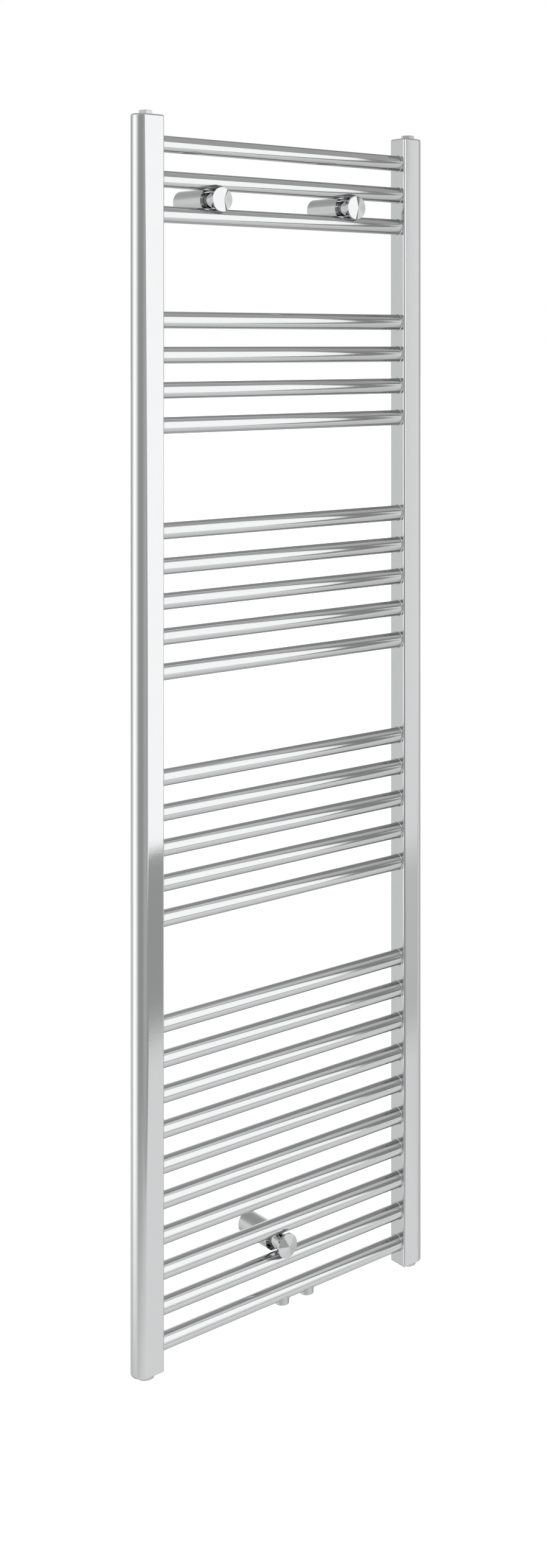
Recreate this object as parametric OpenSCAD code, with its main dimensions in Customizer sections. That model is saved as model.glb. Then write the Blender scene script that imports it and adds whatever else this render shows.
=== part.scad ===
// Wall-hung ladder towel radiator with an air bleed valve, a centre connection and three clamp brackets.
// The origin lies on the wall, on the radiator's centre line, level with the collectors' lower ends.
// +X runs along the rungs to the right, +Y into the wall, +Z up. Millimetres.

/* [Rungs] */
// Clear width between the two collectors
clear_width = 415; // [380:5:720]
// Outside diameter of a rung
rung_d = 22; // [20:1:24]
// Wall thickness of a rung
rung_wall = 1.2; // [1:0.1:1.8]
// Centre distance from one rung to the next
rung_pitch = 45; // [44:1:60]
// Distance between two groups of rungs, in pitches
group_gap = 3; // [2:1:4]
// Rungs in the top group
group_1 = 3; // [3:1:6]
// Rungs in the second group
group_2 = 4; // [2:1:6]
// Rungs in the third group
group_3 = 5; // [2:1:6]
// Rungs in the fourth group
group_4 = 5; // [2:1:6]
// Rungs in the bottom group
group_5 = 10; // [3:1:12]

/* [Collectors] */
// Width of the D section, along the rungs
section_w = 40; // [38:1:46]
// Depth of the D section, and the diameter of its round outer side
section_d = 30; // [30:1:36]
// Wall thickness of a collector
collector_wall = 1.5; // [1.5:0.1:2]
// Radius of the two inner corners of the D section
corner_r = 3; // [2.5:0.5:5]
// Collector end above the top rung's axis
top_margin = 35.5; // [25:0.5:60]
// Collector end below the bottom rung's axis
bottom_margin = 31; // [25:0.5:60]
// Thickness of the plate that closes a collector's end
cap_t = 4; // [3:0.5:5]

/* [Centre connection] */
// Middle of the two sockets, right of the centre line
connection_x = 18; // [-60:1:60]
// Centre distance of the two sockets
connection_spacing = 43; // [40:1:60]
// Outside diameter of a socket
socket_d = 20; // [19:0.5:20]
// Length of a socket that shows under the bottom rung
socket_drop = 4.5; // [3:0.5:10]
// Thread bore of a socket, the minor diameter of G3/8
socket_thread_d = 14.95; // [11.45:0.05:15.4]

/* [Wall brackets] */
// Distance from the wall to the rungs' axes, pushed fully back
projection = 73; // [73:1:95]
// Distance of each upper bracket from the centre line
upper_bracket_x = 116.5; // [60:0.5:180]
// Place of the lower bracket, right of the centre line
lower_bracket_x = -6.5; // [-180:0.5:180]
// Outside diameter of a sleeve and of a clamp head
bracket_d = 32; // [30:1:36]
// Bore of a sleeve, which slides on its wall base
sleeve_bore_d = 27; // [25:0.5:28]
// Screw hole in a wall base
wall_screw_d = 6; // [5:0.5:7]

/* [Valve and plugs] */
// Width across flats of the hexagon heads
hex_af = 17; // [15:1:19]
// Height of a hexagon head
hex_h = 5.2; // [5:0.1:8]
// Thread bore of a collector's top end, the minor diameter of G1/4
vent_thread_d = 11.45; // [11.45:0.05:11.9]
// Thread bore of a collector's bottom end, the minor diameter of G1/2
drain_thread_d = 18.63; // [18.63:0.05:19]
// Outside diameter of a bottom plug's flange
drain_flange_d = 23.5; // [22:0.5:26]
// Height of a bottom plug's flange
drain_flange_h = 4.5; // [3:0.5:6]

/* [Hidden] */
$fn = 96;
PART_FIT = 0.02;
THREAD_FIT = 0.05;
SLIDE_FIT = 0.08;
OPEN = 1;

groups = [group_1, group_2, group_3, group_4, group_5];
function group_start(g) = g == 0 ? 0 : group_start(g - 1) + groups[g - 1] - 1 + group_gap;
rung_steps = [for (g = [0 : len(groups) - 1]) for (i = [0 : groups[g] - 1]) group_start(g) + i];
rung_count = len(rung_steps);
last_step = rung_steps[rung_count - 1];
function step_z(step) = bottom_margin + (last_step - step) * rung_pitch;
function rung_name(i) = str("rung_", i < 10 ? "0" : "", i);

rail_y = -projection;
collector_h = bottom_margin + last_step * rung_pitch + top_margin;
rung_entry = 2;
rung_l = clear_width + 2 * (collector_wall + rung_entry);
port_x = clear_width / 2 + section_w / 2;

top_boss_d = 18;
top_boss_h = 8;
bottom_boss_d = 25;
bottom_boss_h = 8;
top_ring_seat_d = 16;
top_ring_seat_h = 1.2;
bottom_ring_seat_d = 23;
bottom_ring_seat_h = 1.6;
hex_chamfer = 1;
hex_key_af = 10;
hex_key_h = 6;
top_shank_l = cap_t + top_boss_h;
bottom_shank_l = cap_t + bottom_boss_h - 1;

bleed_d = 6;
bleed_collar_h = 1.8;
bleed_recess = 0.2;
bleed_neck_d = 3.6;
bleed_thread_top = -2;
bleed_thread_l = 6;
bleed_flat = 4.6;
bleed_slot_w = 1.2;
bleed_slot_h = 1.2;
seal_d = 4;
seal_h = 1.2;
seat_d = 2.5;
seat_z = bleed_thread_top - bleed_thread_l - seal_h - 2 * PART_FIT;
outlet_d = 1.4;
outlet_z = 1.7;

socket_l = 14;
socket_x = [connection_x - connection_spacing / 2, connection_x + connection_spacing / 2];
baffle_t = 2;

rung_gap = 0.5;
sleeve_front = rung_d / 2 + rung_gap;
sleeve_back_gap = 1;
sleeve_web = 8;
stud_thread_d = 6.8;
stud_l = 16;
neck_d = rung_pitch - rung_d - 2;
pad_t = 1;
pad_d = 27;
pad_bore = neck_d + 0.8;
pad_play = 0.2;
disc_front = 16.4;
disc_cone_h = 3.5;
base_l = 40;
base_floor = 5;
base_cavity_d = 18;
key_w = 6;
key_h = 2.1;
key_end = 6;
grub_d = 4.2;
grub_l = 4.3;
grub_y = -10;
grub_key_af = 2.5;
grub_key_h = 2;

// Brackets a and b hang between the second and third rungs, c between the third and second from last.
brackets = [
    [-upper_bracket_x, step_z(1.5)],
    [upper_bracket_x, step_z(1.5)],
    [lower_bracket_x, step_z(last_step - 1.5)]
];
bracket_tags = ["a", "b", "c"];

CHROME = [0.80, 0.81, 0.83];
STEEL = [0.60, 0.61, 0.63];
BRASS = [0.80, 0.66, 0.36];
RUBBER = [0.10, 0.10, 0.10];
NYLON = [0.20, 0.20, 0.21];

// D section with its flat inner face on x = 0 and its round outer side at x = section_w.
module d_section(inset) {
    half = section_d / 2 - inset;
    corner = corner_r - inset;
    round_x = section_w - section_d / 2;
    translate([round_x, 0])
        circle(half);
    translate([inset + corner, -half])
        square([round_x - inset - corner, 2 * half]);
    translate([inset, corner - half])
        square([corner, 2 * (half - corner)]);
    for (s = [-1, 1])
        translate([inset + corner, s * (half - corner)])
            circle(corner);
}

// Puts a collector's own frame, with x = 0 on its inner face, at the left (-1) or right (1) side.
module at_side(side) {
    mirror([side < 0 ? 1 : 0, 0, 0])
        translate([clear_width / 2, rail_y, 0])
            children();
}

// Puts a collector port's frame, centred on the section's width, at height z.
module at_port(side, z) {
    translate([side * port_x, rail_y, z])
        children();
}

// Puts a rung's frame, with Z along +X, at its place in the ladder.
module at_rung(step) {
    translate([0, rail_y, step_z(step)])
        rotate([0, 90, 0])
            children();
}

// Puts a bracket's frame, with Z pointing out of the wall and its zero on the wall.
module at_bracket(n) {
    translate([brackets[n][0], 0, brackets[n][1]])
        rotate([90, 0, 0])
            children();
}

module collector(side) {
    color(CHROME)
        difference() {
            at_side(side)
                translate([0, 0, cap_t])
                    linear_extrude(collector_h - 2 * cap_t)
                        difference() {
                            d_section(0);
                            d_section(collector_wall);
                        }
            for (step = rung_steps)
                at_rung(step)
                    translate([0, 0, side * (clear_width + collector_wall) / 2])
                        cylinder(d = rung_d + 2 * PART_FIT, h = collector_wall + 2 * OPEN, center = true);
        }
}

module rung_tube(step) {
    at_rung(step)
        difference() {
            cylinder(d = rung_d, h = rung_l, center = true);
            cylinder(d = rung_d - 2 * rung_wall, h = rung_l + 2 * OPEN, center = true);
        }
}

// Puts a socket's frame, with its zero at the socket's mouth and +Z into the rung.
module at_socket(n) {
    translate([socket_x[n], rail_y, bottom_margin - rung_d / 2 - socket_drop])
        children();
}

// Rung number i from the top. The last one has the two holes that hold the sockets.
module rung(i) {
    color(CHROME)
        difference() {
            rung_tube(rung_steps[i - 1]);
            if (i == rung_count)
                for (n = [0, 1])
                    at_socket(n)
                        cylinder(d = socket_d + 2 * PART_FIT, h = socket_l + PART_FIT);
        }
}

// Short threaded bush that is brazed into the bottom rung from below.
module connection_socket(n) {
    color(CHROME)
        at_socket(n)
            difference() {
                cylinder(d = socket_d, h = socket_l);
                translate([0, 0, -OPEN])
                    cylinder(d = socket_thread_d, h = socket_l + 2 * OPEN);
            }
}

// Disc inside the bottom rung that sends the water round through the collectors.
module baffle() {
    color(STEEL)
        at_rung(last_step)
            translate([0, 0, connection_x])
                cylinder(d = rung_d - 2 * rung_wall - 2 * PART_FIT, h = baffle_t, center = true);
}

// End plate with a threaded boss on its inside and a seat for a sealing ring on its outside.
// Drawn with its outside face on z = 0 and the boss below it.
module end_cap(side, thread_d, boss_d, boss_h, seat_d, seat_h) {
    difference() {
        union() {
            translate([-side * port_x, -rail_y, -cap_t])
                at_side(side)
                    linear_extrude(cap_t)
                        d_section(0);
            translate([0, 0, -cap_t - boss_h])
                cylinder(d = boss_d, h = boss_h + cap_t / 2);
        }
        translate([0, 0, -cap_t - boss_h - OPEN])
            cylinder(d = thread_d, h = cap_t + boss_h + 2 * OPEN);
        translate([0, 0, -seat_h])
            cylinder(d = seat_d, h = seat_h + OPEN);
    }
}

module top_cap(side) {
    color(CHROME)
        at_port(side, collector_h)
            end_cap(side, vent_thread_d, top_boss_d, top_boss_h, top_ring_seat_d, top_ring_seat_h);
}

module bottom_cap(side) {
    color(CHROME)
        at_port(side, 0)
            mirror([0, 0, 1])
                end_cap(side, drain_thread_d, bottom_boss_d, bottom_boss_h,
                        bottom_ring_seat_d, bottom_ring_seat_h);
}

// Hexagon head with corners towards +X and -X and its top edge turned to a chamfer.
module hex_head() {
    corner = hex_af / sqrt(3);
    intersection() {
        cylinder(r = corner, h = hex_h, $fn = 6);
        union() {
            cylinder(r = corner + OPEN, h = hex_h - hex_chamfer);
            translate([0, 0, hex_h - hex_chamfer])
                cylinder(r1 = corner, r2 = hex_af / 2 - hex_chamfer / 2, h = hex_chamfer);
        }
    }
}

module top_shank() {
    translate([0, 0, -top_shank_l])
        cylinder(d = vent_thread_d - 2 * PART_FIT, h = top_shank_l + OPEN);
}

// Valve body with the bleed screw's thread, the seat under it and an outlet towards the wall.
module vent_body() {
    color(CHROME)
        at_port(-1, collector_h)
            difference() {
                union() {
                    hex_head();
                    top_shank();
                }
                translate([0, 0, seat_z])
                    cylinder(d = bleed_d, h = hex_h - seat_z + OPEN);
                translate([0, 0, -top_shank_l - OPEN])
                    cylinder(d = seat_d, h = top_shank_l + OPEN + seat_z + OPEN);
                translate([0, 0, outlet_z])
                    rotate([-90, 0, 0])
                        cylinder(d = outlet_d, h = hex_af);
            }
}

// Slotted screw that lifts off the seat. Its thread has two flats that let the air past.
module bleed_screw() {
    top_z = hex_h - bleed_recess;
    screw_d = bleed_d - 2 * THREAD_FIT;
    color(BRASS)
        at_port(-1, collector_h)
            difference() {
                union() {
                    translate([0, 0, top_z - bleed_collar_h])
                        cylinder(d = screw_d, h = bleed_collar_h);
                    translate([0, 0, bleed_thread_top])
                        cylinder(d = bleed_neck_d, h = top_z - bleed_thread_top - bleed_collar_h);
                    translate([0, 0, bleed_thread_top - bleed_thread_l])
                        intersection() {
                            cylinder(d = screw_d, h = bleed_thread_l);
                            translate([-bleed_flat / 2, -bleed_d, 0])
                                cube([bleed_flat, 2 * bleed_d, bleed_thread_l]);
                        }
                }
                translate([-bleed_d, -bleed_slot_w / 2, top_z - bleed_slot_h])
                    cube([2 * bleed_d, bleed_slot_w, bleed_slot_h + OPEN]);
            }
}

// Sealing disc that the bleed screw presses on the seat. It moves up and down but doesn't turn.
module bleed_seal() {
    color(RUBBER)
        at_port(-1, collector_h)
            translate([0, 0, seat_z + PART_FIT])
                cylinder(d = seal_d, h = seal_h);
}

module top_plug() {
    color(CHROME)
        at_port(1, collector_h) {
            hex_head();
            top_shank();
        }
}

// Ring of round section that fills a seat of diameter d_out and height h around a thread.
module sealing_ring(d_in, d_out, h) {
    section_r = h / 2 - PART_FIT;
    rotate_extrude()
        translate([(d_in + d_out) / 4, 0])
            circle(section_r, $fn = 32);
}

module top_orings() {
    color(RUBBER)
        for (side = [-1, 1])
            at_port(side, collector_h - top_ring_seat_h / 2)
                sealing_ring(vent_thread_d, top_ring_seat_d, top_ring_seat_h);
}

// Blanking plug with a round flange, turned with a hexagon key from below.
module bottom_plug(side) {
    color(CHROME)
        at_port(side, 0)
            difference() {
                union() {
                    translate([0, 0, -drain_flange_h])
                        cylinder(d = drain_flange_d, h = drain_flange_h);
                    translate([0, 0, -OPEN])
                        cylinder(d = drain_thread_d - 2 * PART_FIT, h = bottom_shank_l + OPEN);
                }
                translate([0, 0, -drain_flange_h - OPEN])
                    cylinder(r = hex_key_af / sqrt(3), h = hex_key_h + OPEN, $fn = 6);
            }
}

module bottom_orings() {
    color(RUBBER)
        for (side = [-1, 1])
            at_port(side, bottom_ring_seat_h / 2)
                sealing_ring(drain_thread_d, bottom_ring_seat_d, bottom_ring_seat_h);
}

// Post that is screwed to the wall. The keyway under it guides the grub screw's point.
module wall_base(n) {
    post_d = sleeve_bore_d - 2 * SLIDE_FIT;
    color(STEEL)
        at_bracket(n)
            difference() {
                cylinder(d = post_d, h = base_l);
                translate([0, 0, base_floor])
                    cylinder(d = base_cavity_d, h = base_l);
                translate([0, 0, -OPEN])
                    cylinder(d = wall_screw_d, h = base_floor + 2 * OPEN);
                translate([-key_w / 2, -post_d / 2 - OPEN, key_end])
                    cube([key_w, key_h + OPEN, base_l]);
            }
}

// Chrome tube that slides on the wall base and carries the clamp's thread in its front end.
module sleeve(n) {
    front = projection - sleeve_front;
    color(CHROME)
        at_bracket(n)
            difference() {
                translate([0, 0, sleeve_back_gap])
                    cylinder(d = bracket_d, h = front - sleeve_back_gap);
                translate([0, 0, sleeve_back_gap - OPEN])
                    cylinder(d = sleeve_bore_d, h = front - sleeve_web - sleeve_back_gap + OPEN);
                cylinder(d = stud_thread_d, h = front + OPEN);
                translate([0, -sleeve_bore_d / 2 + OPEN, -grub_y])
                    rotate([90, 0, 0])
                        cylinder(d = grub_d + 2 * PART_FIT, h = bracket_d / 2);
            }
}

// Ring between the clamp head and the rungs. It moves in and out but doesn't turn.
module clamp_pad(n) {
    color(NYLON)
        at_bracket(n)
            translate([0, 0, projection + sleeve_front])
                difference() {
                    cylinder(d = pad_d, h = pad_t);
                    translate([0, 0, -OPEN])
                        cylinder(d = pad_bore, h = pad_t + 2 * OPEN);
                }
}

// Clamp head with a shallow cone in front, a neck that passes between two rungs and a threaded stud.
module clamp_cap(n) {
    back = projection + sleeve_front + pad_t + pad_play;
    neck_end = projection - sleeve_front + rung_gap;
    color(CHROME)
        at_bracket(n) {
            translate([0, 0, back])
                cylinder(d = bracket_d, h = projection + disc_front - back);
            translate([0, 0, projection + disc_front])
                cylinder(d1 = bracket_d, d2 = 0, h = disc_cone_h);
            translate([0, 0, neck_end])
                cylinder(d = neck_d, h = back - neck_end + OPEN);
            translate([0, 0, neck_end - stud_l])
                cylinder(d = stud_thread_d - 2 * THREAD_FIT, h = stud_l + OPEN);
        }
}

// The three grub screws that lock the sleeves on the wall bases, from below.
module grub_screws() {
    color(STEEL)
        for (n = [0 : len(brackets) - 1])
            at_bracket(n)
                translate([0, -bracket_d / 2, -grub_y])
                    rotate([-90, 0, 0])
                        difference() {
                            cylinder(d = grub_d, h = grub_l);
                            translate([0, 0, -OPEN])
                                cylinder(r = grub_key_af / sqrt(3), h = grub_key_h + OPEN, $fn = 6);
                        }
}

collector(-1);  // collector_left
collector(1);  // collector_right
for (i = [1 : rung_count])
    rung(i);
baffle();
connection_socket(0);  // flow_socket
connection_socket(1);  // return_socket
top_cap(-1);  // top_cap_left
top_cap(1);  // top_cap_right
bottom_cap(-1);  // bottom_cap_left
bottom_cap(1);  // bottom_cap_right
vent_body();
bleed_screw();
bleed_seal();
top_plug();
top_orings();
bottom_plug(-1);  // bottom_plug_left
bottom_plug(1);  // bottom_plug_right
bottom_orings();
for (n = [0 : len(brackets) - 1]) {
    wall_base(n);
    sleeve(n);
    clamp_pad(n);
    clamp_cap(n);
}
grub_screws();
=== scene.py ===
"""Looks, light and camera for the ladder towel radiator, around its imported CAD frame. Metres, +Z up."""
import math

import bmesh
import bpy
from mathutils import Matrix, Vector


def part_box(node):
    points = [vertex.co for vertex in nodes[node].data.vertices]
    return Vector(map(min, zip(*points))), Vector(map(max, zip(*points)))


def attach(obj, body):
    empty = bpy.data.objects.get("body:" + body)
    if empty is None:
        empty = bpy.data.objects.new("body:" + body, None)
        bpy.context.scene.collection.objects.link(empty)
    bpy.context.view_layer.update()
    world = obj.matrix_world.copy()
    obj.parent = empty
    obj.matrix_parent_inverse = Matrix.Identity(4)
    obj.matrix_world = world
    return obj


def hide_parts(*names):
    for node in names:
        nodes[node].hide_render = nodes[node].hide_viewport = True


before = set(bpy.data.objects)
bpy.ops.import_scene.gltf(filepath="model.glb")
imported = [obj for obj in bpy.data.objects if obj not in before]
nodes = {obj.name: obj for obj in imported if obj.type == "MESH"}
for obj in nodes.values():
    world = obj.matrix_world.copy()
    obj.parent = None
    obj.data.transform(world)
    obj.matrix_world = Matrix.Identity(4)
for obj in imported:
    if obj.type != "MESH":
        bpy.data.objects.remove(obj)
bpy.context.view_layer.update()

MM = 0.001
TAU = 2 * math.pi
DEG = 180 / math.pi


# ---------------------------------------------------------------- node-tree arithmetic

class Term:
    """A shader value that builds nodes as it is combined with other values."""

    def __init__(self, tree, socket):
        self.tree, self.socket = tree, socket

    def op(self, kind, *others):
        """A Math node of this kind, with self as its first value."""
        node = self.tree.nodes.new("ShaderNodeMath")
        node.operation = kind
        for i, value in enumerate((self,) + others):
            if isinstance(value, Term):
                self.tree.links.new(value.socket, node.inputs[i])
            else:
                node.inputs[i].default_value = value
        return Term(self.tree, node.outputs[0])

    def __add__(self, other):
        return self.op("ADD", other)

    def __mul__(self, other):
        return self.op("MULTIPLY", other)

    def rest(self):
        """What is left of 1."""
        return self * -1.0 + 1.0

    def mix(self, other, share):
        """self where share is 0, other where it is 1."""
        return self * share.rest() + share * other

    def step(self, start, end):
        """0 at start and before, 1 at end and beyond, smooth between; start may be the higher one."""
        node = self.tree.nodes.new("ShaderNodeMapRange")
        node.interpolation_type = "SMOOTHSTEP"
        self.tree.links.new(self.socket, node.inputs["Value"])
        node.inputs["From Min"].default_value = start
        node.inputs["From Max"].default_value = end
        return Term(self.tree, node.outputs["Result"])

    def ramp(self, low, high, stops):
        """A value read off straight lines between stops (position from low to high, value)."""
        scale = self.tree.nodes.new("ShaderNodeMapRange")
        self.tree.links.new(self.socket, scale.inputs["Value"])
        scale.inputs["From Min"].default_value = low
        scale.inputs["From Max"].default_value = high
        curve = self.tree.nodes.new("ShaderNodeFloatCurve")
        self.tree.links.new(scale.outputs["Result"], curve.inputs["Value"])
        points = curve.mapping.curves[0].points
        top = max(value for _, value in stops)
        for i, (at, value) in enumerate(stops):
            place = ((at - low) / (high - low), value / top)
            if i < 2:
                point = points[i]       # a new curve has two points
                point.location = place
            else:
                point = points.new(*place)
            point.handle_type = "VECTOR"
        curve.mapping.update()
        return Term(self.tree, curve.outputs[0]) * top


# ---------------------------------------------------------------- materials

CLOUD_SCALE = 38.0         # of the slow drift in tone and roughness, per metre
TONE_DRIFT = 0.015         # share that the colour drifts to either side
GRAIN_HEIGHT = 0.2 * MM    # relief of the grain at full strength


def noise(tree, place, scale, detail):
    """A noise texture in the object's own coordinates."""
    node = tree.nodes.new("ShaderNodeTexNoise")
    node.inputs["Scale"].default_value = scale
    node.inputs["Detail"].default_value = detail
    tree.links.new(place.outputs["Object"], node.inputs["Vector"])
    return node.outputs["Fac"]


def material(name, colour, metallic, roughness, spread, grain=0.0, grain_scale=900.0):
    """A finish whose tone and roughness drift a little over the surface, with a fine grain in its relief."""
    mat = bpy.data.materials.new(name)
    mat.use_nodes = True
    tree = mat.node_tree
    shader = tree.nodes["Principled BSDF"]
    shader.inputs["Metallic"].default_value = metallic
    place = tree.nodes.new("ShaderNodeTexCoord")
    drift = Term(tree, noise(tree, place, CLOUD_SCALE, 4.0))
    rough = drift * (2.0 * spread) + (roughness - spread)
    tree.links.new(rough.socket, shader.inputs["Roughness"])
    tone = tree.nodes.new("ShaderNodeMix")
    tone.data_type = "RGBA"
    tone.inputs[6].default_value = [c * (1 - TONE_DRIFT) for c in colour] + [1.0]
    tone.inputs[7].default_value = [c * (1 + TONE_DRIFT) for c in colour] + [1.0]
    tree.links.new(drift.socket, tone.inputs[0])
    tree.links.new(tone.outputs[2], shader.inputs["Base Color"])
    if grain:
        bump = tree.nodes.new("ShaderNodeBump")
        bump.inputs["Strength"].default_value = grain
        bump.inputs["Distance"].default_value = GRAIN_HEIGHT
        tree.links.new(noise(tree, place, grain_scale, 2.0), bump.inputs["Height"])
        tree.links.new(bump.outputs["Normal"], shader.inputs["Normal"])
    return mat


CHROME = (0.55, 0.554, 0.558)    # chromium's own reflectance
FITTING_SHADE_SHARE = 0.84              # painted shade: sockets, hexagon heads and plugs get a darker copy of the chrome, this share of the other chrome's colour, for the dimmer reflections they show
SHADED_FITTING_CHROME = [c * FITTING_SHADE_SHARE for c in CHROME]
FINISHES = {   # colour, metallic, roughness, its spread, grain strength, grain scale
    "collector_chrome": (CHROME, 1.0, 0.050, 0.012, 0.05),
    "rung_chrome": (CHROME, 1.0, 0.080, 0.010, 0.010),
    # painted shade: the same chrome as the rest, darkened in colour to stand in for the fittings' dimmer
    # reflections
    "fitting_chrome": (SHADED_FITTING_CHROME, 1.0, 0.07, 0.012, 0.02),
    "bracket_chrome": (CHROME, 1.0, 0.03, 0.008),
    "base_steel": ((0.56, 0.56, 0.57), 1.0, 0.32, 0.05, 0.12, 1400.0),
    "screw_steel": ((0.42, 0.42, 0.44), 1.0, 0.28, 0.04, 0.10),
    "screw_brass": ((0.80, 0.62, 0.30), 1.0, 0.24, 0.05, 0.10),
    "seal_rubber": ((0.035, 0.035, 0.037), 0.0, 0.62, 0.05, 0.25, 2200.0),
    "pad_nylon": ((0.74, 0.74, 0.72), 0.0, 0.42, 0.04, 0.15, 1800.0),
}
slot_of = {name: next((m.name.split(".")[0] for m in obj.data.materials if m), None)
           for name, obj in nodes.items()}
finish = {name: material(name, *recipe) for name, recipe in FINISHES.items()}


# ---------------------------------------------------------------- mesh building

SHARP_ANGLE = math.radians(32)   # edges above this stay sharp in the shading
SAME_PLACE = 1e-8                # points nearer than this are one point
AXIS_R = 1e-6                    # least radius of a ring, so that an apex is still a ring
EDGE_STEPS = 6                   # steps round the edge of a turned piece


def corner_arc(before, corner, after, radius, steps):
    """Points of the arc that rounds a corner between two straight edges."""
    u, w = (before - corner).normalized(), (after - corner).normalized()
    turn = math.pi - u.angle(w)
    if radius < 1e-7 or turn < 1e-4:
        return [corner.copy()]
    reach = radius * math.tan(turn / 2)
    centre = corner + (u + w).normalized() * (radius / math.cos(turn / 2))
    start, end = corner + u * reach - centre, corner + w * reach - centre
    sweep = math.atan2(start.x * end.y - start.y * end.x, start.dot(end))
    arc = []
    for i in range(steps + 1):
        c, s = math.cos(sweep * i / steps), math.sin(sweep * i / steps)
        arc.append(centre + Vector((start.x * c - start.y * s, start.x * s + start.y * c)))
    return arc


def rounded(points, radii, steps, closed=True):
    """A polyline in the plane with its corners rounded; radii are per corner."""
    pts = [Vector(p) for p in points]
    out = []
    count = len(pts)
    for i, p in enumerate(pts):
        if not closed and i in (0, count - 1):
            out.append(p.copy())
            continue
        arc = corner_arc(pts[i - 1], p, pts[(i + 1) % count], radii[i], steps)
        if out and (arc[0] - out[-1]).length < SAME_PLACE:
            arc = arc[1:]
        out += arc
    if closed and (out[0] - out[-1]).length < SAME_PLACE:
        out.pop()
    return out


def quarter_turn(steps):
    """Sine and cosine at equal steps from 0 to 90 degrees."""
    angles = [math.pi / 2 * i / steps for i in range(steps + 1)]
    return [(math.sin(a), math.cos(a)) for a in angles]


def finish_mesh(node, bm, slot, body="radiator"):
    """Makes an object of a bmesh, with its shading, finish and body, which stands for a CAD node."""
    bmesh.ops.remove_doubles(bm, verts=bm.verts, dist=SAME_PLACE)
    bmesh.ops.recalc_face_normals(bm, faces=bm.faces)
    name = f"{node}_skin"
    mesh = bpy.data.meshes.new(name)
    bm.to_mesh(mesh)
    bm.free()
    mesh.shade_smooth()
    mesh.set_sharp_from_angle(angle=SHARP_ANGLE)
    obj = bpy.data.objects.new(name, mesh)
    bpy.context.scene.collection.objects.link(obj)
    mesh.materials.append(finish[slot])
    weigh = obj.modifiers.new("weighted_normals", "WEIGHTED_NORMAL")
    weigh.keep_sharp = True
    weigh.weight = 60
    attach(obj, body)
    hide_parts(node)
    return obj


def add_rings(bm, rings, close=False, cap_start=False, cap_end=False):
    """Joins rings of points, all of one length, with quads."""
    made = [[bm.verts.new(p) for p in ring] for ring in rings]
    n = len(made[0])
    pairs = list(zip(made, made[1:]))
    if close:
        pairs.append((made[-1], made[0]))
    for low, high in pairs:
        for i in range(n):
            j = (i + 1) % n
            bm.faces.new((low[i], low[j], high[j], high[i]))
    if cap_start:
        bm.faces.new(made[0])
    if cap_end:
        bm.faces.new(list(reversed(made[-1])))


def along(axis, centre, r, angle, h):
    """A point at radius r, angle and height h on an axis through centre: 'x', 'y' or 'z'."""
    a, b = r * math.cos(angle), r * math.sin(angle)
    if axis == "z":
        return Vector((centre[0] + a, centre[1] + b, h))
    if axis == "y":
        return Vector((centre[0] + a, h, centre[2] + b))
    return Vector((h, centre[1] + a, centre[2] + b))


def circle(axis, centre, r, h, segments):
    """A ring of points round an axis through centre, at height h."""
    return [along(axis, centre, max(r, AXIS_R), TAU * i / segments, h) for i in range(segments)]


def lathe(node, axis, centre, profile, slot, body="radiator", closed=True, segments=96, extra=None):
    """A turned piece; profile holds (radius, height, edge rounding), and extra adds to its mesh."""
    line = rounded([(r, h) for r, h, _ in profile], [edge for _, _, edge in profile], EDGE_STEPS, closed)
    bm = bmesh.new()
    add_rings(bm, [circle(axis, centre, r, h, segments) for r, h in line], close=closed)
    if extra:
        extra(bm)
    return finish_mesh(node, bm, slot, body)


def cut(obj, tool_rings):
    """Takes a round tool's volume out of a piece."""
    bm = bmesh.new()
    add_rings(bm, tool_rings, cap_start=True, cap_end=True)
    bmesh.ops.recalc_face_normals(bm, faces=bm.faces)
    mesh = bpy.data.meshes.new("tool")
    bm.to_mesh(mesh)
    bm.free()
    tool = bpy.data.objects.new("tool", mesh)
    bpy.context.scene.collection.objects.link(tool)
    tool.matrix_world = obj.matrix_world
    weigh = obj.modifiers[0]
    weigh.show_viewport = False
    boolean = obj.modifiers.new("hole", "BOOLEAN")
    boolean.operation = "DIFFERENCE"
    boolean.solver = "EXACT"
    boolean.object = tool
    seen = bpy.context.evaluated_depsgraph_get()
    result = bpy.data.meshes.new_from_object(obj.evaluated_get(seen))
    obj.modifiers.remove(boolean)
    weigh.show_viewport = True
    old = obj.data
    obj.data = result
    result.name = old.name
    bpy.data.meshes.remove(old)
    bpy.data.objects.remove(tool)


# ---------------------------------------------------------------- collectors

END_ROUND = 2.3 * MM       # rounding of the collectors' closed ends
END_FLAT = 0.4 * MM        # how far the end's flat begins inside that rounding
FLAT_CORNER = 3.0 * MM     # corner radius beside the flat that takes the rungs
LEAST_CORNER = 0.3 * MM
CORNER_STEPS = 24          # round each corner of the section
END_STEPS = 8              # over the rounding of an end
TUBE_STEPS = 24            # up a tube


def d_outline(side, flat_x, outer_x, front_y, back_y, inset):
    """The collector's section: square towards the rungs, half round outside."""
    half = (back_y - front_y) / 2
    x0, x1 = flat_x + side * inset, outer_x - side * inset
    y0, y1 = front_y + inset, back_y - inset
    corner = max(FLAT_CORNER - inset, LEAST_CORNER)
    radii = [corner, half - inset, half - inset, corner]
    return rounded([(x0, y0), (x1, y0), (x1, y1), (x0, y1)], radii, CORNER_STEPS)


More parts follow.
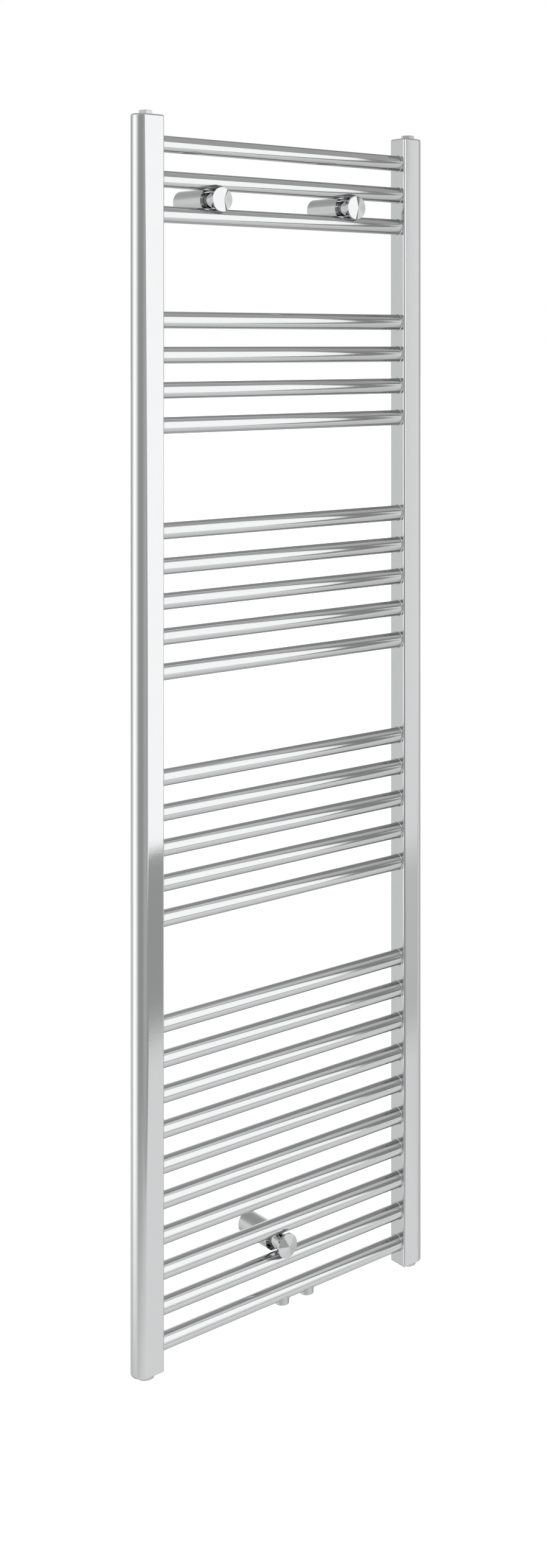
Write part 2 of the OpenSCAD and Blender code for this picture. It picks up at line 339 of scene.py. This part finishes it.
def collector(side_name, side):
    """A tube and its two end plates; side is -1 on the left and 1 on the right."""
    lo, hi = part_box(f"collector_{side_name}")
    flat_x, outer_x = (hi.x, lo.x) if side < 0 else (lo.x, hi.x)

    def section(z, inset=0.0):
        return [Vector((p.x, p.y, z)) for p in d_outline(side, flat_x, outer_x, lo.y, hi.y, inset)]

    bm = bmesh.new()
    add_rings(bm, [section(lo.z + (hi.z - lo.z) * i / TUBE_STEPS) for i in range(TUBE_STEPS + 1)])
    finish_mesh(f"collector_{side_name}", bm, "collector_chrome")

    top, bottom = f"top_cap_{side_name}", f"bottom_cap_{side_name}"
    ends = ((top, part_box(top)[1].z, hi.z, 1), (bottom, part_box(bottom)[0].z, lo.z, -1))
    for node, edge, inner, way in ends:
        stack = [section(inner)]
        stack += [section(edge - way * END_ROUND * (1 - s), END_ROUND * (1 - c))
                  for s, c in quarter_turn(END_STEPS)]
        stack.append(section(edge, END_ROUND + END_FLAT))
        bm = bmesh.new()
        add_rings(bm, stack, cap_end=True)
        finish_mesh(node, bm, "collector_chrome")


collector("left", -1)
collector("right", 1)


# ---------------------------------------------------------------- rungs

WELD = 0.9 * MM                              # polished weld fillet where a rung meets a collector
TUCK = 2.0 * MM                              # how far a rung's skin goes on inside the collector
RUNG_WALL = 1.2 * MM
RUNG_SEGMENTS = 128
WELD_STEPS = 6
RUNG_STATIONS = (0.985, 0.8, 0.6, 0.4, 0.2)  # shares of the way from the middle to the collector
inner_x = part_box("collector_right")[0].x


def rung(node):
    """A round tube with a fillet at both ends."""
    lo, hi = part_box(node)
    radius = (hi.z - lo.z) / 2
    profile = [(radius - RUNG_WALL, inner_x + TUCK), (radius + WELD, inner_x + TUCK)]
    profile += [(radius + WELD * (1 - s), inner_x - WELD * (1 - c)) for s, c in quarter_turn(WELD_STEPS)]
    profile += [(radius, inner_x * share) for share in RUNG_STATIONS + (0.0,)]
    profile += [(r, -x) for r, x in reversed(profile[:-1])]
    bm = bmesh.new()
    add_rings(bm, [circle("x", (lo + hi) / 2, r, x, RUNG_SEGMENTS) for r, x in profile])
    finish_mesh(node, bm, "rung_chrome")


rung_names = sorted(name for name in nodes if name.startswith("rung_"))
for name in rung_names:
    rung(name)


# ---------------------------------------------------------------- sockets of the centre connection

BORE_R = 7.475 * MM
THREAD_PITCH = 1.337 * MM
THREAD_DEPTH = 0.75 * MM
MOUTH = 1.1 * MM           # chamfer in front of the thread
SOCKET_SEAM = 0.05 * MM    # how far the fillet's edge sinks into the rung
COLLAR_STEPS = 5           # across the fillet
COLLAR_SEGMENTS = 96       # round it
rung_lo, rung_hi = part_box(rung_names[-1])
rung_r, rung_z = (rung_hi.z - rung_lo.z) / 2, (rung_hi.z + rung_lo.z) / 2


def weld_collar(bm, centre, radius):
    """The fillet between a socket and the underside of the lowest rung."""
    rings = []
    for i in range(COLLAR_STEPS + 1):
        t = i / COLLAR_STEPS
        r = radius + WELD * t * t
        ring = []
        for j in range(COLLAR_SEGMENTS):
            a = TAU * j / COLLAR_SEGMENTS
            across = min(r, rung_r * 0.999) * math.sin(a)
            under = rung_z - math.sqrt(rung_r ** 2 - across ** 2)
            z = under - WELD * (1 - t) ** 2 + SOCKET_SEAM * t
            ring.append(Vector((centre.x + r * math.cos(a), centre.y + r * math.sin(a), z)))
        rings.append(ring)
    add_rings(bm, rings)


def socket(node):
    """A round socket with an inside thread."""
    lo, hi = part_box(node)
    centre = (lo + hi) / 2
    radius = (hi.x - lo.x) / 2
    line = [(radius, hi.z, 0.0), (radius, lo.z, 0.9 * MM), (BORE_R + MOUTH, lo.z, 0.3 * MM)]
    z = lo.z + MOUTH
    while z + THREAD_PITCH < hi.z:
        line.append((BORE_R, z, 0.0))
        line.append((BORE_R + THREAD_DEPTH, z + THREAD_PITCH / 2, 0.0))
        z += THREAD_PITCH
    line.append((BORE_R, hi.z, 0.0))
    lathe(node, "z", centre, line, "fitting_chrome", extra=lambda bm: weld_collar(bm, centre, radius))


socket("flow_socket")
socket("return_socket")


# ---------------------------------------------------------------- hexagon heads and bottom plugs

HEX_AF = 17.0 * MM                          # across flats
HEX_CORNER = 0.5 * MM
HEX_SLOPE = math.tan(math.radians(27))      # of the turned chamfer
CROWN_R = HEX_AF / 2 * 0.93                 # radius of the head's flat top
SCREW_BORE_R = 3.05 * MM
SCREW_BORE_DEPTH = 4.2 * MM
KEY_AF = 10.0 * MM                          # hexagon socket of a bottom plug
KEY_CORNER = 0.3 * MM
KEY_DEPTH = 6.0 * MM
FLANGE_ROUND = 0.9 * MM
FLANGE_STEPS = 6
HEX_CORNER_STEPS = 5
HEX_SPACING = 0.6 * MM                      # between points along a hexagon's sides


def hex_outline(across, corner):
    """A hexagon with rounded corners, its corners on the X axis."""
    r = across / math.sqrt(3)
    pts = [(r * math.cos(math.radians(60 * i)), r * math.sin(math.radians(60 * i))) for i in range(6)]
    line = rounded(pts, [corner] * 6, HEX_CORNER_STEPS)
    out = []
    for p, q in zip(line, line[1:] + line[:1]):
        cuts = max(1, round((q - p).length / HEX_SPACING))
        out += [p.lerp(q, c / cuts) for c in range(cuts)]
    return out


def hex_head(node, bore_r=0.0, bore_depth=0.0):
    """A chamfered hexagon head, with an open bore for the bleed screw if bore_r isn't 0."""
    lo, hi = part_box(node)
    cx, cy = (lo.x + hi.x) / 2, (lo.y + hi.y) / 2
    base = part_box("top_cap_left")[1].z
    crown = hi.z
    outline = hex_outline(HEX_AF, HEX_CORNER)

    def ring(radius_of, z_of):
        """The outline with each point moved to a new radius and height, both given by a function."""
        out = []
        for p in outline:
            r = radius_of(p.length)
            out.append(Vector((cx + p.x / p.length * r, cy + p.y / p.length * r, z_of(r))))
        return out

    def sloped(r):
        return crown - max(0.0, r - CROWN_R) * HEX_SLOPE

    stack = [   # foot, side, rounded edge, turned chamfer, flat top
        ring(lambda r: r * 0.97, lambda r: base),
        ring(lambda r: r - 0.1 * MM, lambda r: base),
        ring(lambda r: r, lambda r: base + 0.15 * MM),
        ring(lambda r: r, lambda r: sloped(r) - 0.22 * MM),
        ring(lambda r: r - 0.05 * MM, lambda r: sloped(r) - 0.08 * MM),
        ring(lambda r: r - 0.2 * MM, sloped),
        ring(lambda r: CROWN_R + 0.15 * MM if r > CROWN_R else r * 0.98, sloped),
        ring(lambda r: CROWN_R - 0.2 * MM, lambda r: crown)]
    if bore_r:
        stack += [   # the bore's chamfer and wall
            ring(lambda r: bore_r + 0.35 * MM, lambda r: crown),
            ring(lambda r: bore_r + 0.05 * MM, lambda r: crown - 0.3 * MM),
            ring(lambda r: bore_r, lambda r: crown - bore_depth)]
    else:
        stack.append(ring(lambda r: CROWN_R * 0.5, lambda r: crown))
    bm = bmesh.new()
    add_rings(bm, stack, cap_end=not bore_r)
    finish_mesh(node, bm, "fitting_chrome")


def bottom_plug(side_name):
    """A round flange with a hexagon socket in its face."""
    node = f"bottom_plug_{side_name}"
    lo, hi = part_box(node)
    cx, cy = (lo.x + hi.x) / 2, (lo.y + hi.y) / 2
    flange_r = (hi.x - lo.x) / 2
    face, seat = lo.z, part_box(f"bottom_cap_{side_name}")[0].z
    outline = hex_outline(KEY_AF, KEY_CORNER)

    def disc(r, z):
        return [along("z", (cx, cy), r, math.atan2(p.y, p.x), z) for p in outline]

    def hexagon(grow, z):
        return [Vector((cx + p.x * grow, cy + p.y * grow, z)) for p in outline]

    stack = [disc(flange_r - 0.3 * MM, seat), disc(flange_r, seat - 0.3 * MM)]
    stack += [disc(flange_r - FLANGE_ROUND * (1 - c), face + FLANGE_ROUND * (1 - s))
              for s, c in quarter_turn(FLANGE_STEPS)]
    stack += [disc(flange_r - FLANGE_ROUND - 0.4 * MM, face), disc(KEY_AF * 0.68, face),
              hexagon(1.06, face), hexagon(1.0, face + 0.35 * MM), hexagon(1.0, face + KEY_DEPTH),
              hexagon(0.3, face + KEY_DEPTH + 0.8 * MM)]
    bm = bmesh.new()
    add_rings(bm, stack, cap_end=True)
    finish_mesh(node, bm, "fitting_chrome")


hex_head("vent_body", SCREW_BORE_R, SCREW_BORE_DEPTH)
hex_head("top_plug")
bottom_plug("left")
bottom_plug("right")


# ---------------------------------------------------------------- clamp brackets

SLEEVE_BORE_R = 13.5 * MM
SLEEVE_WEB = 8.0 * MM        # solid front end of a sleeve
STUD_HOLE_R = 3.4 * MM
GRUB_HOLE_R = 2.15 * MM
GRUB_FROM_WALL = 10.0 * MM
CONE_RISE = 3.5 * MM         # of the turned face of a clamp head
RIM = 3.7 * MM               # thickness of its disc
NECK_R = 10.5 * MM
NECK_LENGTH = 23.7 * MM
BRACKET_SEGMENTS = 128
GRUB_SEGMENTS = 32
STUD_SEGMENTS = 48
STUD_R = 3.35 * MM
STUD_PITCH = 1.25 * MM
STUD_THREAD_DEPTH = 0.55 * MM
STUD_RIDGE_SLOPE = 2.6       # over 2, the thread's crests are flat
STUD_CHAMFER = 0.5 * MM
STEPS_PER_TURN = 8           # of the thread


def sleeve(node):
    """A sleeve, open at the wall, with a stud hole in front and a grub screw hole below."""
    lo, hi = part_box(node)
    centre = (lo + hi) / 2
    outer = (hi.x - lo.x) / 2
    front, back = lo.y, hi.y
    web = front + SLEEVE_WEB
    profile = [(outer, front, 0.45 * MM), (outer, back, 0.4 * MM), (SLEEVE_BORE_R, back, 0.3 * MM),
               (SLEEVE_BORE_R, web, 0.5 * MM), (STUD_HOLE_R, web, 0.2 * MM), (STUD_HOLE_R, front, 0.3 * MM)]
    piece = lathe(node, "y", centre, profile, "bracket_chrome", segments=BRACKET_SEGMENTS)
    grub = Vector((centre.x, -GRUB_FROM_WALL, 0))
    underside = centre.z - outer
    cut(piece, [circle("z", grub, GRUB_HOLE_R, z, GRUB_SEGMENTS)
                for z in (underside - 2 * MM, underside + 5 * MM)])


def stud_thread(bm, centre, tip, end):
    """A helical thread from the tip to the end under the neck."""
    steps = int((tip - end) / STUD_PITCH * STEPS_PER_TURN)
    rings = []
    for i in range(steps + 1):
        y = tip + (end - tip) * i / steps
        fade = min(1.0, i / STEPS_PER_TURN)
        ring = []
        for j in range(STUD_SEGMENTS):
            a = TAU * j / STUD_SEGMENTS
            phase = (y / STUD_PITCH + a / TAU) % 1.0
            ridge = min(1.0, STUD_RIDGE_SLOPE * min(phase, 1 - phase))
            r = STUD_R - STUD_THREAD_DEPTH * (1 - ridge) - STUD_CHAMFER * (1 - fade)
            ring.append(along("y", centre, r, a, y))
        rings.append(ring)
    add_rings(bm, rings, cap_start=True)


def clamp_head(node):
    """A shallow cone on a disc, with a neck and a threaded stud behind it."""
    lo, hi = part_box(node)
    centre = (lo + hi) / 2
    disc_r = (hi.x - lo.x) / 2
    apex = lo.y
    rim_front = apex + CONE_RISE
    rim_back = rim_front + RIM
    neck_end = rim_back + NECK_LENGTH
    profile = [(0.0, apex, 0.0), (disc_r * 0.5, (apex + rim_front) / 2, 0.0), (disc_r, rim_front, 0.35 * MM),
               (disc_r, rim_back, 0.35 * MM), (NECK_R, rim_back, 0.25 * MM), (NECK_R, neck_end, 0.5 * MM),
               (STUD_R, neck_end, 0.0)]
    lathe(node, "y", centre, profile, "bracket_chrome", node, closed=False, segments=BRACKET_SEGMENTS,
          extra=lambda bm: stud_thread(bm, centre, hi.y, neck_end))


for tag in "abc":
    sleeve(f"sleeve_{tag}")
    clamp_head(f"clamp_cap_{tag}")


# ---------------------------------------------------------------- CAD nodes that are kept

SOFT_EDGE = 0.12 * MM
for name, obj in nodes.items():
    if obj.hide_render:     # a piece above stands for it
        continue
    obj.data.materials.clear()
    obj.data.materials.append(finish[slot_of[name]])
    soft_edge = obj.modifiers.new("edges", "BEVEL")
    soft_edge.width = SOFT_EDGE
    soft_edge.segments = 2
    soft_edge.limit_method = "ANGLE"
    soft_edge.angle_limit = math.radians(40)


# ---------------------------------------------------------------- floor and light panels

def quad(name, corners, mat):
    """A flat sheet."""
    mesh = bpy.data.meshes.new(name)
    mesh.from_pydata([Vector(c) for c in corners], [], [(0, 1, 2, 3)])
    mesh.materials.append(mat)
    obj = bpy.data.objects.new(name, mesh)
    bpy.context.scene.collection.objects.link(obj)
    return obj


def panel(name, corners, radiance):
    """A glowing sheet that the chrome reflects and the camera doesn't see."""
    mat = bpy.data.materials.new(name)
    mat.use_nodes = True
    tree = mat.node_tree
    tree.nodes.clear()
    glow = tree.nodes.new("ShaderNodeEmission")
    glow.inputs["Strength"].default_value = radiance
    out = tree.nodes.new("ShaderNodeOutputMaterial")
    tree.links.new(glow.outputs[0], out.inputs["Surface"])
    obj = quad(name, corners, mat)
    obj.visible_camera = False
    obj.visible_shadow = False


CARD_FOOT = (-1.700, 0.120)    # (y, z) of the slanted card's lower edge
CARD_TOP = (-0.708, 1.900)     # and of its upper edge


def card(name, foot, top, radiance):
    """A part of the slanted card, between two x at its foot and two at its top."""
    corners = [(foot[0], *CARD_FOOT), (foot[1], *CARD_FOOT), (top[1], *CARD_TOP), (top[0], *CARD_TOP)]
    panel(name, corners, radiance)


card("light_card", foot=(0.70, 1.38), top=(-0.475, 0.732), radiance=1.64)
card("shade_card", foot=(1.38, 1.62), top=(0.732, 0.80), radiance=0.32)

SHADE_Z = 1.75                 # a dim sheet over the top rungs
panel("shade_top", [(-0.35, -0.46, SHADE_Z), (0.65, -0.46, SHADE_Z), (0.65, -0.03, SHADE_Z),
                    (-0.35, -0.03, SHADE_Z)], 0.56)

FLOOR_Z = -0.16
FLOOR_HALF = 60.0              # far enough for no edge to show
floor_mat = bpy.data.materials.new("floor")
floor_mat.use_nodes = True
floor_shader = floor_mat.node_tree.nodes["Principled BSDF"]
floor_shader.inputs["Base Color"].default_value = (0.9, 0.9, 0.9, 1)
floor_shader.inputs["Roughness"].default_value = 0.8
floor_shader.inputs["Emission Color"].default_value = (1, 1, 1, 1)
floor_shader.inputs["Emission Strength"].default_value = 1.0
floor = quad("floor", [(sx * FLOOR_HALF, sy * FLOOR_HALF, FLOOR_Z)
                       for sx, sy in ((-1, -1), (1, -1), (1, 1), (-1, 1))], floor_mat)
floor.visible_glossy = False


# ---------------------------------------------------------------- studio surroundings

def surroundings(tree):
    """The studio's brightness in each direction, as the chrome reflects it; angles are in degrees."""
    place = tree.nodes.new("ShaderNodeTexCoord")
    direction = tree.nodes.new("ShaderNodeSeparateXYZ")
    tree.links.new(place.outputs["Generated"], direction.inputs[0])
    dx, dy, dz = (Term(tree, direction.outputs[i]) for i in range(3))
    height = dz.op("ARCSINE") * DEG                          # above the horizon
    heading = (dx * -1.0).op("ARCTAN2", dy * -1.0) * DEG     # 0 in front, 90 left, -90 right
    pitch = dz.op("ARCTAN2", dy * -1.0) * DEG                # about the rungs' own axis

    low_sky = heading.ramp(-180, 180, [
        # behind and right
        (-180, 0.92), (-170, 1.12), (-158, 1.10), (-141, 1.00), (-120, 0.75), (-100, 0.60), (-85, 0.64),
        (-75, 0.80), (-68, 0.90), (-55, 1.24), (-48, 1.14), (-43, 1.20),
        # dim in front
        (-40, 0.40), (-36, 0.50), (-13, 0.60), (-4, 0.64), (4, 0.66), (14, 0.60), (26, 0.51), (40, 0.46),
        (58, 0.49), (68, 0.53), (75, 0.67),
        # bright on the left, and its fall towards the back
        (83, 1.08), (91, 1.35), (99, 1.64), (108, 1.76), (124, 1.74), (130, 1.36), (137, 0.92), (143, 1.02),
        (148, 0.86), (155, 0.58), (163, 0.63), (171, 0.77), (180, 0.92)])

    high_sky = pitch.ramp(0, 180, [
        (0, 0.36), (24, 0.42), (40, 0.60), (48, 0.80), (56, 1.00), (72, 1.06), (88, 1.00), (96, 0.84),
        (104, 0.60), (112, 0.49), (122, 0.45), (132, 0.46), (140, 0.52), (150, 0.62), (160, 0.80),
        (180, 1.0)])
    dimming = dx.ramp(-1, 1, [      # towards the right
        (-1, 1), (0.50, 1), (0.56, 0.95), (0.60, 0.80), (0.64, 0.68), (0.68, 0.62), (1, 0.62)])
    sky = low_sky.mix(high_sky * dimming, height.step(16, 23))

    ground = pitch.ramp(-180, 0, [
        (-180, 1.03), (-170, 1.05), (-160, 1.00), (-144, 0.78), (-128, 0.56), (-120, 0.52), (-112, 0.60),
        (-100, 0.72), (-90, 0.84), (-80, 0.90), (-64, 0.96), (-48, 1.06), (-32, 1.12), (-16, 1.14),
        (0, 1.14)])
    right_shade = dx.ramp(-1, 1, [
        (-1, 0), (0.625, 0), (0.645, 0.10), (0.675, 0.17), (1, 0.17)]) * pitch.step(-22, -32)

    # a dark band across the ground in front, a little lower on the right
    band_drop = heading.ramp(-180, 180, [(-180, 0), (-60, 0), (-50, 2.6), (-41, 2.6), (-37, 0), (180, 0)])
    band_pitch = pitch + band_drop
    band = band_pitch.step(-25.4, -24.0) * band_pitch.step(-18.9, -17.6).rest()
    band_depth = heading.ramp(-180, 180, [
        (-180, 0), (-60, 0.10), (-45, 0.26), (-39, 0.30), (-36.5, 0.56), (0, 0.56), (40, 0.30), (80, 0),
        (180, 0)])
    front = ground * right_shade.rest() * (band * band_depth).rest()

    # how high the ground reaches, measured from 30 degrees below the horizon
    reach = heading.ramp(-180, 180, [
        (-180, 26), (-100, 26), (-60, 22), (-44, 22), (-36, 40), (-30, 40), (-20, 14), (-8, 9), (0, 8),
        (60, 6), (85, 5), (140, 5), (165, 20), (180, 26)])
    below = reach + -30.0 + height * -1.0
    return sky.mix(front, below.step(-3, 9))


world = bpy.data.worlds.new("studio")
bpy.context.scene.world = world
world.use_nodes = True
tree = world.node_tree
tree.nodes.clear()
shine = tree.nodes.new("ShaderNodeBackground")
tree.links.new(surroundings(tree).socket, shine.inputs["Color"])
plain = tree.nodes.new("ShaderNodeBackground")       # what the camera itself sees
plain.inputs["Color"].default_value = (1, 1, 1, 1)
path = tree.nodes.new("ShaderNodeLightPath")
pick = tree.nodes.new("ShaderNodeMixShader")
tree.links.new(path.outputs["Is Camera Ray"], pick.inputs[0])
tree.links.new(shine.outputs[0], pick.inputs[1])
tree.links.new(plain.outputs[0], pick.inputs[2])
world_out = tree.nodes.new("ShaderNodeOutputWorld")
tree.links.new(pick.outputs[0], world_out.inputs["Surface"])


# ---------------------------------------------------------------- camera

CAMERA_PLACE = (-1.5588, -1.9796, 1.3051)
CAMERA_TURN = math.radians(-38.94)      # from straight at the rungs towards the right; the camera is level

camera_data = bpy.data.cameras.new("camera")
camera_data.lens = 41.97
camera_data.sensor_width = 36.0
camera_data.sensor_height = 36.0
camera_data.shift_y = -0.2805
camera_data.clip_end = 100.0
camera = bpy.data.objects.new("camera", camera_data)
camera.location = CAMERA_PLACE
camera.rotation_euler = (math.radians(90), 0.0, CAMERA_TURN)
bpy.context.scene.collection.objects.link(camera)
bpy.context.scene.camera = camera
bpy.context.scene.view_settings.view_transform = "Standard"
bpy.context.scene.view_settings.look = "None"

bpy.context.view_layer.update()
